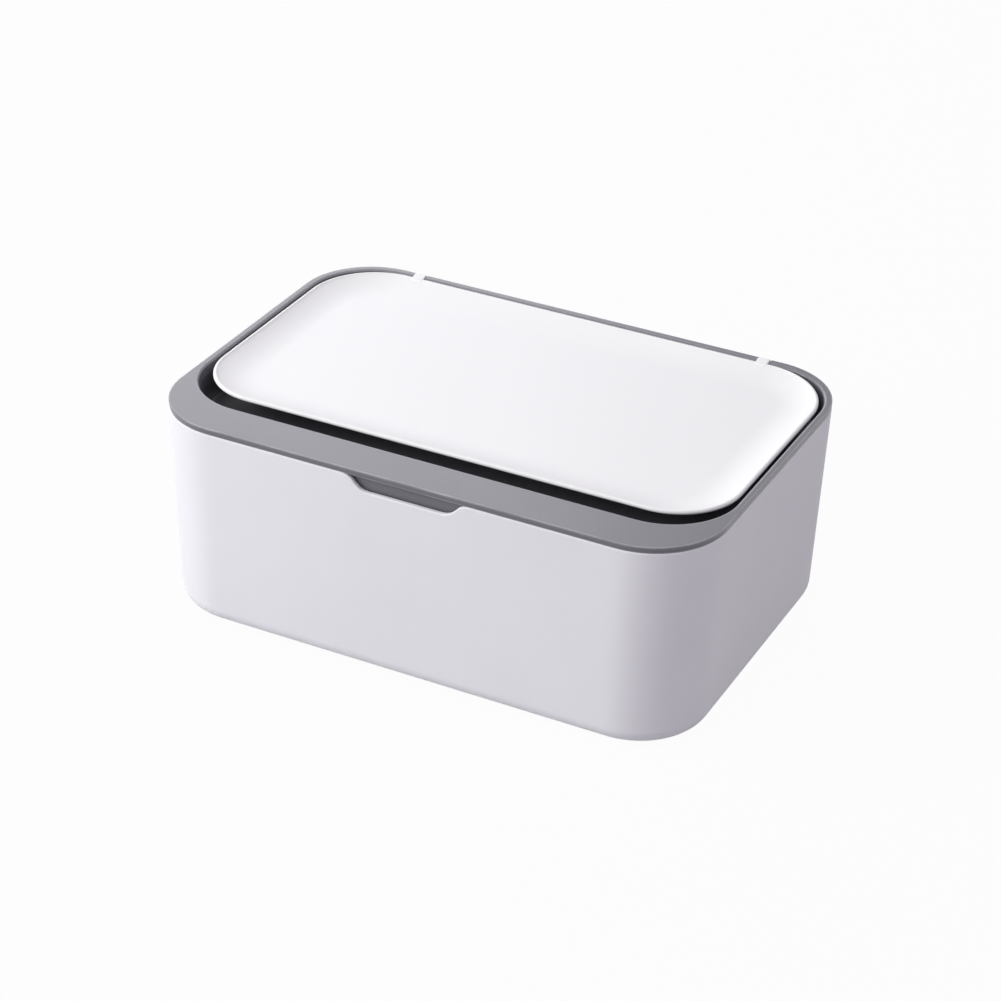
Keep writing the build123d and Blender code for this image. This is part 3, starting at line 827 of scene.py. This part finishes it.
def slot_reach(turn, reach_x, reach_y):
    """Distance from a slot's middle to its edge in one direction."""
    across, up = abs(math.cos(turn)), abs(math.sin(turn))
    run = reach_x - reach_y
    if up > 0 and reach_y / up * across <= run:
        return reach_y / up
    return across * run + math.sqrt(max(0.0, reach_y ** 2 - (up * run) ** 2))


def oval_reach(turn, reach_x, reach_y):
    """Distance from an oval's middle to its edge in one direction."""
    return 1 / math.hypot(math.cos(turn) / reach_x, math.sin(turn) / reach_y)


def make_frame_seal(material):
    """The soft ring in the skirt's groove, with two ridges towards the tub."""
    groove = skirt_inset() + bpy.context.scene.wipes_frame.groove
    reach_x, reach_y, corner = box_reach(groove, SEAL_LOW.z)
    ridge = bpy.context.scene.wipes_soft.seal_bulge
    proud = SEAL_HIGH.x - reach_x
    tall = SEAL_HIGH.z - SEAL_LOW.z
    section = [(0, 0)]
    for step in range(SLOPE_STEPS * 2 + 1):
        share = step / (SLOPE_STEPS * 2)
        bulge = ridge * abs(math.sin(2 * math.pi * share))
        section.append((proud - ridge + bulge, tall * share))
    section.append((0, tall))
    return swept("skirt_seal", section, reach_x, reach_y, corner, 0.0, SEAL_LOW.z, material)


def make_lid_seal(material):
    """The soft ring that closes on the port's collar, rounded below."""
    reach_x = (LID_SEAL_HIGH.x - LID_SEAL_LOW.x) / 2
    reach_y = (LID_SEAL_HIGH.y - LID_SEAL_LOW.y) / 2
    half = bpy.context.scene.wipes_frame.collar_wall / 2 + bpy.context.scene.wipes_soft.seal_spread
    tall = LID_SEAL_HIGH.z - LID_SEAL_LOW.z
    section = [(half, tall), (-half, tall)]
    for step in range(SLOPE_STEPS + 1):
        turn = math.pi * (1 + step / SLOPE_STEPS)
        section.append((half * math.cos(turn), (1 + math.sin(turn)) * tall / 2))
    return swept("lid_ring_seal", section, reach_x - half, reach_y - half, reach_y - half, well_centre(),
                 LID_SEAL_LOW.z, material)


def make_pads(material):
    """Four soft pads under the base, with rounded corners and edges."""
    sizes = bpy.context.scene.wipes_soft
    half = (PAD_HIGH.x - PAD_LOW.x) / 2
    middle = (PAD_LOW + PAD_HIGH) / 2
    rings = []
    for inset, height in ((sizes.pad_edge, 0), (sizes.pad_edge / 4, sizes.pad_edge / 4), (0, sizes.pad_edge),
                          (0, PAD_HIGH.z)):
        corner = sizes.pad_corner - inset
        rings.append(lift(rounded_outline(half - inset, half - inset, corner, corner), PAD_LOW.z + height))
    pads = repeat(loft("foot_pads", rings), 2, 2, 2 * middle.x, 2 * middle.y, 0.0, material)
    return smooth(pads, SOFT_EDGE)


def grain_group(name):
    """Fine moulded grain: a height, a varied roughness and a faint tone."""
    tree, given = new_group("ShaderNodeTree", name, [
        ("Vector", "Vector", (0, 0, 0)), ("Scale", "Float", 2600.0), ("Roughness", "Float", 0.5),
        ("Spread", "Float", 0.06),
    ], [("Height", "Float"), ("Roughness", "Float"), ("Tone", "Float")])
    grain = add(tree, "ShaderNodeTexNoise", {
        "Vector": given["Vector"], "Scale": given["Scale"], "Detail": 3.0,
    })
    flow = add(tree, "ShaderNodeTexNoise", {"Vector": given["Vector"], "Scale": 22.0, "Detail": 4.0})
    low = reckon(tree, "SUBTRACT", given["Roughness"], given["Spread"])
    high = reckon(tree, "ADD", given["Roughness"], given["Spread"])
    varied = add(tree, "ShaderNodeMapRange", {"Value": flow["Fac"], "To Min": low, "To Max": high})
    add(tree, "NodeGroupOutput", {"Height": grain["Fac"], "Roughness": varied["Result"], "Tone": flow["Fac"]})
    return tree


def tint_group(name):
    """A colour that drifts a little with a tone and gathers faint dust on faces that look up."""
    tree, given = new_group("ShaderNodeTree", name, [
        ("Colour", "Color", (1, 1, 1, 1)), ("Tone", "Float", 0.5), ("Drift", "Float", 0.03),
        ("Dust", "Float", 0.02), ("Vector", "Vector", (0, 0, 0)),
    ], [("Colour", "Color")])
    shade = reckon(tree, "SUBTRACT", 1.0, given["Drift"])
    drift = add(tree, "ShaderNodeMapRange", {
        "Value": given["Tone"], "From Min": 0.3, "From Max": 0.7, "To Min": shade,
    })
    toned = add(tree, "ShaderNodeVectorMath", {
        0: given["Colour"], "Scale": drift["Result"],
    }, operation="SCALE")
    specks = add(tree, "ShaderNodeTexNoise", {"Vector": given["Vector"], "Scale": 420.0, "Detail": 5.0})
    facing = add(tree, "ShaderNodeNewGeometry")
    upward = add(tree, "ShaderNodeSeparateXYZ", {0: facing["Normal"]})
    laid = reckon(tree, "MULTIPLY", upward["Z"], specks["Fac"], clamp=True)
    mixed = add(tree, "ShaderNodeMix", {
        "Factor": reckon(tree, "MULTIPLY", laid, given["Dust"]), "A": toned[0],
        "B": (*bpy.context.scene.wipes_finish.dust, 1),
    }, data_type="RGBA")
    add(tree, "NodeGroupOutput", {"Colour": mixed["Result"]})
    return tree


def wear_and_highlight_group(name):
    """Where edges have been rubbed: wherever the form turns quickly, broken up by noise."""
    tree, given = new_group("ShaderNodeTree", name, [
        ("Vector", "Vector", (0, 0, 0)), ("Radius", "Float", 0.0006), ("Full", "Float", 0.02),
        ("Amount", "Float", 0.2),
    ], [("Wear and highlight", "Float")])
    shape = add(tree, "ShaderNodeNewGeometry")
    eased = add(tree, "ShaderNodeBevel", {"Radius": given["Radius"]}, samples=4)
    agree = add(tree, "ShaderNodeVectorMath", {
        0: shape["Normal"], 1: eased["Normal"],
    }, operation="DOT_PRODUCT")
    turned = reckon(tree, "SUBTRACT", 1.0, agree["Value"])
    edges = add(tree, "ShaderNodeMapRange", {
        "Value": turned, "From Max": given["Full"], "To Max": given["Amount"],
    })
    patches = add(tree, "ShaderNodeTexNoise", {"Vector": given["Vector"], "Scale": 60.0, "Detail": 4.0})
    add(tree, "NodeGroupOutput", {"Wear and highlight": reckon(tree, "MULTIPLY", edges["Result"], patches["Fac"])})
    return tree


def plastic(name, base, roughness, grain, drift=0.03, dust=0.02, wear=0.15, scale=2600.0,
            stretch=(1, 1, 1), **fixed):
    """A moulded finish: grain is its depth, and fixed gives the shader's own settings."""
    material = bpy.data.materials.new(name)
    material.use_nodes = True
    tree = material.node_tree
    place = add(tree, "ShaderNodeTexCoord")["Object"]
    mapped = add(tree, "ShaderNodeMapping", {"Vector": place, "Scale": stretch})["Vector"]
    grained = add(tree, "ShaderNodeGroup", {
        "Vector": mapped, "Scale": scale, "Roughness": roughness,
    }, node_tree=group_named("Moulded grain", grain_group))
    tinted = add(tree, "ShaderNodeGroup", {
        "Colour": (*base, 1), "Drift": drift, "Dust": dust, "Tone": grained["Tone"], "Vector": place,
    }, node_tree=group_named("Drift and dust", tint_group))
    # Edges lighten towards the scuff colour; on the frame the large amount paints highlight lines
    worn_and_highlit = add(tree, "ShaderNodeGroup", {
        "Amount": wear, "Vector": place,
    }, node_tree=group_named("Edge wear", wear_and_highlight_group))
    rubbed_and_highlit = add(tree, "ShaderNodeMix", {
        "Factor": worn_and_highlit["Wear and highlight"], "A": tinted["Colour"], "B": (*bpy.context.scene.wipes_finish.worn_and_highlit, 1),
    }, data_type="RGBA")
    bump = add(tree, "ShaderNodeBump", {"Height": grained["Height"], "Distance": grain, "Strength": 1.0})
    feed(tree, tree.nodes["Principled BSDF"], {
        "Base Color": rubbed_and_highlit["Result"], "Roughness": grained["Roughness"], "Normal": bump["Normal"],
        **{label.replace("_", " "): value for label, value in fixed.items()},
    })
    return material


def material_for(finish):
    """The material of one finish, made the first time it is asked for."""
    found = bpy.data.materials.get(finish)
    if found:
        return found
    colours = bpy.context.scene.wipes_finish
    recipes = {
        "matte_tub_white": dict(base=colours.tub, roughness=0.55, grain=0.00002),
        "satin_lid_white": dict(base=colours.lid, roughness=0.42, grain=0.000008, drift=0.015, dust=0.0,
                                Specular_IOR_Level=0.18),
        "satin_inner_white": dict(base=colours.inside, roughness=0.45, grain=0.00001),
        # The frame's high edge amount paints highlight lines along its edges, beyond scuffing
        "satin_frame_grey": dict(base=colours.grey, roughness=0.33, grain=0.000006, drift=0.05, dust=0.03,
                                 wear=0.75),
        "soft_silicone": dict(base=colours.silicone, roughness=0.5, grain=0.00001, dust=0.05, scale=900.0,
                              Sheen_Weight=0.15),
        "soft_pad_silicone": dict(base=colours.pads, roughness=0.6, grain=0.00003, dust=0.1, scale=1500.0,
                                  Sheen_Weight=0.2),
        "brushed_steel": dict(base=colours.steel, roughness=0.3, grain=0.00001, dust=0.0, scale=300.0,
                              stretch=(0.05, 8, 8), Metallic=1.0),
    }
    return plastic(finish, **recipes[finish])


def settled(piece, body, slot, *nodes):
    """Check a finished piece, let it ride on its body and stand in for its packed nodes."""
    mesh = bmesh.new()
    mesh.from_mesh(piece.data)
    open_edges = sum(1 for edge in mesh.edges if len(edge.link_faces) != 2)
    faces = len(mesh.faces)
    mesh.free()
    if faces == 0 or open_edges:
        raise RuntimeError(f"{piece.name} isn't closed: {faces} faces, {open_edges} open edges")
    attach(piece, body)
    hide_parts(*nodes)


class PieceOperator:
    """What the operators that make pieces share."""

    bl_options = {"REGISTER", "UNDO"}


class WIPES_OT_tub(PieceOperator, bpy.types.Operator):
    """Make the tub."""

    bl_idname = "wipes.tub"
    bl_label = "Tub"

    def execute(self, context):
        settled(make_tub(material_for("matte_tub_white")), "tub", "tub_white", "tub_shell")
        return {"FINISHED"}


class WIPES_OT_pads(PieceOperator, bpy.types.Operator):
    """Make the foot pads."""

    bl_idname = "wipes.pads"
    bl_label = "Foot pads"

    def execute(self, context):
        names = [f"foot_pad_{end}_{side}" for end in ("front", "back") for side in ("left", "right")]
        settled(make_pads(material_for("soft_pad_silicone")), "tub", "foot_silicone", *names)
        return {"FINISHED"}


class WIPES_OT_frame(PieceOperator, bpy.types.Operator):
    """Make the grey frame."""

    bl_idname = "wipes.frame"
    bl_label = "Frame"

    def execute(self, context):
        settled(make_frame(material_for("satin_frame_grey")), "frame", "frame_grey", "top_frame")
        return {"FINISHED"}


class WIPES_OT_lid(PieceOperator, bpy.types.Operator):
    """Make the lid."""

    bl_idname = "wipes.lid"
    bl_label = "Lid"

    def execute(self, context):
        settled(make_lid(material_for("satin_lid_white")), "lid", "lid_white", "lid_panel")
        return {"FINISHED"}


class WIPES_OT_seals(PieceOperator, bpy.types.Operator):
    """Make the soft seals and the insert with its slit."""

    bl_idname = "wipes.seals"
    bl_label = "Seals and insert"

    def execute(self, context):
        silicone = material_for("soft_silicone")
        rows = (
            (make_insert, "frame", "port_insert"),
            (make_frame_seal, "frame", "frame_seal"),
            (make_lid_seal, "lid", "lid_seal"),
        )
        for maker, body, node in rows:
            settled(maker(silicone), body, "seal_silicone", node)
        return {"FINISHED"}


class WIPES_OT_inside(PieceOperator, bpy.types.Operator):
    """Finish the parts that keep their packed shape: liner, plate, weights and pins."""

    bl_idname = "wipes.inside"
    bl_label = "Inner parts"

    def execute(self, context):
        finishes = {
            "satin_inner_white": ("lid_liner", "press_plate_base", "press_plate_cover"),
            "brushed_steel": ("press_weight_front", "press_weight_back", "hinge_pin_left", "hinge_pin_right"),
        }
        for finish, names in finishes.items():
            for name in names:
                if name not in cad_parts:
                    raise RuntimeError(f"the packed frame has no node named {name}")
                dress(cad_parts[name], material_for(finish))
        return {"FINISHED"}


class WIPES_OT_stage(PieceOperator, bpy.types.Operator):
    """Make the floor, the light and the camera."""

    bl_idname = "wipes.stage"
    bl_label = "Stage"

    def execute(self, context):
        make_floor()
        make_light()
        make_camera()
        context.scene.view_settings.view_transform = "Standard"
        return {"FINISHED"}


class WIPES_PT_panel(bpy.types.Panel):
    """Lists the steps and the settings."""

    bl_label = "Wipes Dispenser"
    bl_idname = "WIPES_PT_panel"
    bl_space_type = "VIEW_3D"
    bl_region_type = "UI"
    bl_category = "Wipes"

    def draw(self, context):
        layout = self.layout
        for step in STEPS:
            layout.operator(step.bl_idname)
        for label, group in GROUPS.items():
            box = layout.box()
            box.label(text=group.__doc__)
            for prop in group.__annotations__:
                box.prop(getattr(context.scene, label), prop)


def make_floor():
    """A wide pale floor that shows white to the camera and keeps the object's shadow."""
    mesh = bmesh.new()
    bmesh.ops.create_grid(mesh, x_segments=1, y_segments=1, size=FLOOR_REACH)
    floor = settle("floor", mesh)
    if floor.data.polygons[0].normal.z < 0:
        floor.data.flip_normals()
    material = bpy.data.materials.new("pale_floor")
    material.use_nodes = True
    tree = material.node_tree
    base = (*bpy.context.scene.wipes_finish.floor, 1)
    matte = feed(tree, tree.nodes["Principled BSDF"], {"Base Color": base, "Roughness": 0.9})
    glow = add(tree, "ShaderNodeEmission", {"Strength": 1.0})
    share = reckon(tree, "MULTIPLY", seen(tree), bpy.context.scene.wipes_stage.floor_share)
    mix = add(tree, "ShaderNodeMixShader", {"Fac": share, 1: matte[0], 2: glow[0]})
    feed(tree, tree.nodes["Material Output"], {"Surface": mix[0]})
    dress(floor, material)


def seen(tree):
    """A socket that is 1 for what the camera sees, also in gloss and through glass."""
    path = add(tree, "ShaderNodeLightPath")
    direct = reckon(tree, "MAXIMUM", path["Is Camera Ray"], path["Is Glossy Ray"])
    return reckon(tree, "MAXIMUM", direct, path["Is Transmission Ray"])


def make_light():
    """Soft lamps at the left, above and behind, and even light all round."""
    scene = bpy.context.scene
    for name in LAMPS:
        settings = getattr(scene, f"wipes_{name}")
        data = bpy.data.lights.new(name, "AREA")
        data.energy = settings.watts
        data.color = settings.tint
        data.shape = "SQUARE"
        data.size = settings.size
        lamp = bpy.data.objects.new(name, data)
        way = direction(settings.turn, settings.rise)
        lamp.location = settings.distance * way
        lamp.rotation_euler = (-way).to_track_quat("-Z", "Y").to_euler()
        scene.collection.objects.link(lamp)
    world = bpy.data.worlds.new("studio")
    scene.world = world
    world.use_nodes = True
    tree = world.node_tree
    even = feed(tree, tree.nodes["Background"], {
        "Color": (*scene.wipes_stage.world_tint, 1), "Strength": scene.wipes_stage.world,
    })
    white = add(tree, "ShaderNodeBackground", {"Color": (1, 1, 1, 1)})
    mix = add(tree, "ShaderNodeMixShader", {"Fac": seen(tree), 1: even[0], 2: white[0]})
    feed(tree, tree.nodes["World Output"], {"Surface": mix[0]})


def direction(turn, rise):
    """Unit vector towards a place round the object: turned from the front, raised from the horizon."""
    return Vector((math.sin(turn) * math.cos(rise), -math.cos(turn) * math.cos(rise), math.sin(rise)))


def make_camera():
    """A long lens, placed and rolled as in the photograph."""
    settings = bpy.context.scene.wipes_stage
    back = direction(settings.azimuth, settings.elevation)
    right = Vector((math.cos(settings.azimuth), math.sin(settings.azimuth), 0))
    up = back.cross(right)
    tilt_right = math.cos(settings.roll) * right + math.sin(settings.roll) * up
    tilt_up = math.cos(settings.roll) * up - math.sin(settings.roll) * right
    data = bpy.data.cameras.new("camera")
    data.sensor_width = SENSOR
    data.lens = settings.lens
    data.clip_start = NEAREST
    camera = bpy.data.objects.new("camera", data)
    place = settings.distance * back - settings.across * tilt_right - settings.upward * tilt_up
    place.z += settings.ground
    axes = Matrix((tilt_right, tilt_up, back)).transposed().to_4x4()
    camera.matrix_world = Matrix.Translation(place) @ axes
    bpy.context.scene.collection.objects.link(camera)
    bpy.context.scene.camera = camera


STEPS = (
    WIPES_OT_tub, WIPES_OT_pads, WIPES_OT_frame, WIPES_OT_lid, WIPES_OT_seals, WIPES_OT_inside,
    WIPES_OT_stage,
)
CLASSES = (*GROUPS.values(), *STEPS, WIPES_PT_panel)


def register():
    """Register the settings, the steps and the panel."""
    for item in CLASSES:
        bpy.utils.register_class(item)
    for label, group in GROUPS.items():
        setattr(bpy.types.Scene, label, bpy.props.PointerProperty(type=group))


def unregister():
    """Take them away again."""
    for label in GROUPS:
        delattr(bpy.types.Scene, label)
    for item in reversed(CLASSES):
        bpy.utils.unregister_class(item)


def main():
    """Run every step in order and note the size before and after."""
    register()
    for step in STEPS:
        family, name = step.bl_idname.split(".")
        getattr(getattr(bpy.ops, family), name)()


if __name__ == "__main__":
    main()
